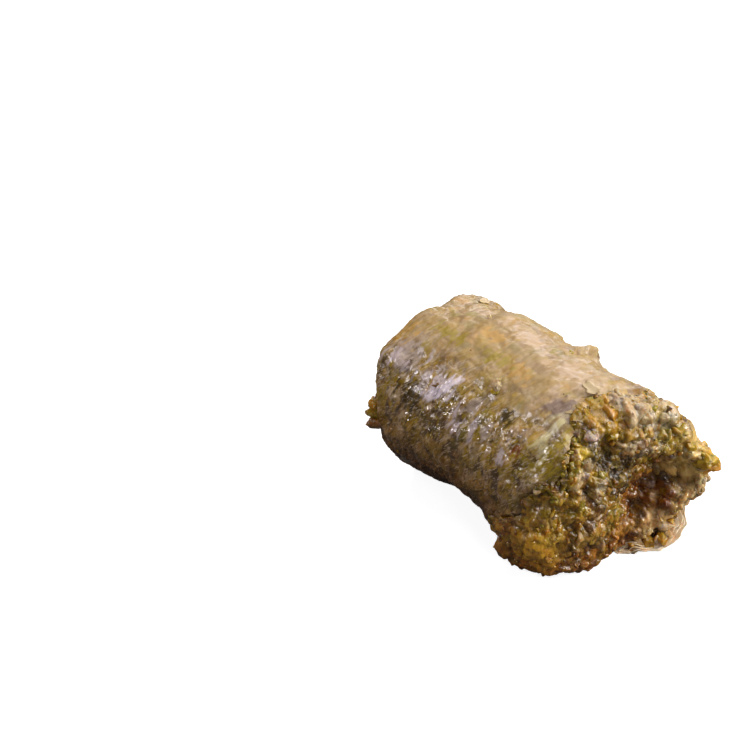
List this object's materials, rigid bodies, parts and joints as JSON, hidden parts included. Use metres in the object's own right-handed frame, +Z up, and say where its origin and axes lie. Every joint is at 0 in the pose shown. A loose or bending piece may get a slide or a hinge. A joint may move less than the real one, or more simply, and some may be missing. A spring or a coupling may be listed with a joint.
{
  "type": "baklava piece",
  "caption": "Rolled pistachio baklava: a soft log of crushed nuts in a thin syrup-soaked pastry sheet, torn back at one end, lying on its side.",
  "frame": {"origin": "middle of the footprint of the roll, on the surface that it lies on", "axes": "+Z up, +X along the roll towards its torn end, -Y the side seen in the picture"},
  "size_m": [0.0483, 0.0314, 0.0275],
  "materials": {
    "filling": "moist crushed pistachio in olive, yellow-green, ochre and brown, bound and glazed with syrup",
    "pastry": "thin soaked pastry, translucent tan over green nuts, finely wrinkled, sticky gloss"
  },
  "bodies": {
    "root": {"pistachio_filling": "filling", "pastry_sheet": "pastry"}
  },
  "joints": []
}
